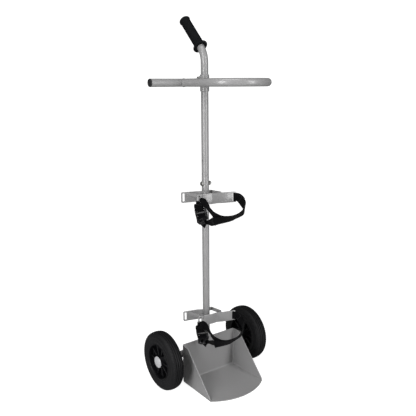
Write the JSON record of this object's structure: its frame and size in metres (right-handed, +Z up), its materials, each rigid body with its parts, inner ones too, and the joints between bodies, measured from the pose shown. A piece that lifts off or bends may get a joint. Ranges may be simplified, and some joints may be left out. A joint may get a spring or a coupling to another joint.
{
  "type": "gas cylinder hand cart",
  "caption": "Tall hand cart for a gas cylinder: bent tube column with ribbed grip, cross tube with hoop, strap brackets, rounded floor tray and wheels.",
  "frame": {"origin": "on the floor, on the underside of the tray floor, below the middle of the cylinder's place", "axes": "+X along the axle to the right seen from the open front, +Y to the back where the person pushes, +Z up"},
  "size_m": [0.456, 0.3896, 1.2651],
  "materials": {
    "grey_paint": "satin powder coat",
    "zinc_steel": "zinc plated",
    "grip_rubber": "matte",
    "tyre_rubber": "matte",
    "rim_plastic": "moulded, satin",
    "bush_plastic": "moulded",
    "cap_plastic": "gloss",
    "plug_plastic": "moulded",
    "buckle_black": "satin black coat",
    "webbing": "woven"
  },
  "bodies": {
    "cart": {"lower_column": "grey_paint", "column_foot_plug": "plug_plastic", "spigot_tube": "grey_paint", "upper_column": "grey_paint", "column_bolt": "zinc_steel", "column_nut": "zinc_steel", "bolt_washers": "zinc_steel", "handle_grip": "grip_rubber", "tray_floor": "grey_paint", "tray_back_plate": "grey_paint", "tray_left_side": "grey_paint", "tray_right_side": "grey_paint", "axle_tube_left": "grey_paint", "axle_tube_right": "grey_paint", "axle_rod": "zinc_steel", "axle_inner_washers": "zinc_steel", "axle_outer_washers": "zinc_steel", "retaining_rings": "zinc_steel", "lower_cradle": "grey_paint", "lower_rear_plate": "grey_paint", "lower_left_leg": "grey_paint", "lower_right_leg": "grey_paint", "lower_strap": "webbing", "lower_strap_tail": "webbing", "lower_buckle_strap": "webbing", "lower_buckle_frame": "buckle_black", "lower_buckle_pin": "zinc_steel", "upper_cradle": "grey_paint", "upper_rear_plate": "grey_paint", "upper_left_leg": "grey_paint", "upper_right_leg": "grey_paint", "upper_strap": "webbing", "upper_strap_tail": "webbing", "upper_buckle_strap": "webbing", "upper_buckle_frame": "buckle_black", "upper_buckle_pin": "zinc_steel"},
    "crossbar": {"crossbar_collar": "grey_paint", "clamp_boss": "grey_paint", "crossbar_tube": "grey_paint", "guard_hoop": "grey_paint", "crossbar_plug_left": "plug_plastic", "crossbar_plug_right": "plug_plastic"},
    "clamp": {"clamp_screw": "zinc_steel"},
    "left_wheel": {"left_tyre": "tyre_rubber", "left_rim": "rim_plastic", "left_bushes": "bush_plastic", "left_hub_cap": "cap_plastic"},
    "right_wheel": {"right_tyre": "tyre_rubber", "right_rim": "rim_plastic", "right_bushes": "bush_plastic", "right_hub_cap": "cap_plastic"},
    "lower_cam": {"lower_buckle_cam": "buckle_black"},
    "upper_cam": {"upper_buckle_cam": "buckle_black"}
  },
  "joints": [
    {"name": "left_wheel_spin", "type": "hinge", "parent": "cart", "child": "left_wheel", "pos_m": [-0.19, 0.117, 0.105], "axis": [1, 0, 0], "continuous": true},
    {"name": "right_wheel_spin", "type": "hinge", "parent": "cart", "child": "right_wheel", "pos_m": [0.19, 0.117, 0.105], "axis": [1, 0, 0], "continuous": true},
    {"name": "crossbar_height", "type": "slide", "parent": "cart", "child": "crossbar", "axis": [0, 0, 1], "range_m": [-0.26, 0.033]},
    {"name": "clamp_turn", "type": "hinge", "parent": "crossbar", "child": "clamp", "pos_m": [-0.028, 0.117, 1.065], "axis": [1, 0, 0], "range_deg": [0, 360]},
    {"name": "lower_cam_lift", "type": "hinge", "parent": "cart", "child": "lower_cam", "pos_m": [-0.06082, 0.06305, 0.19177], "axis": [-0.5999, 0.7678, -0.225], "range_deg": [0, 75], "stiffness_Nm_per_rad": 0.02, "springref_deg": -11.46},
    {"name": "upper_cam_lift", "type": "hinge", "parent": "cart", "child": "upper_cam", "pos_m": [-0.06082, 0.06305, 0.62977], "axis": [-0.5999, 0.7678, -0.225], "range_deg": [0, 75], "stiffness_Nm_per_rad": 0.02, "springref_deg": -11.46}
  ]
}
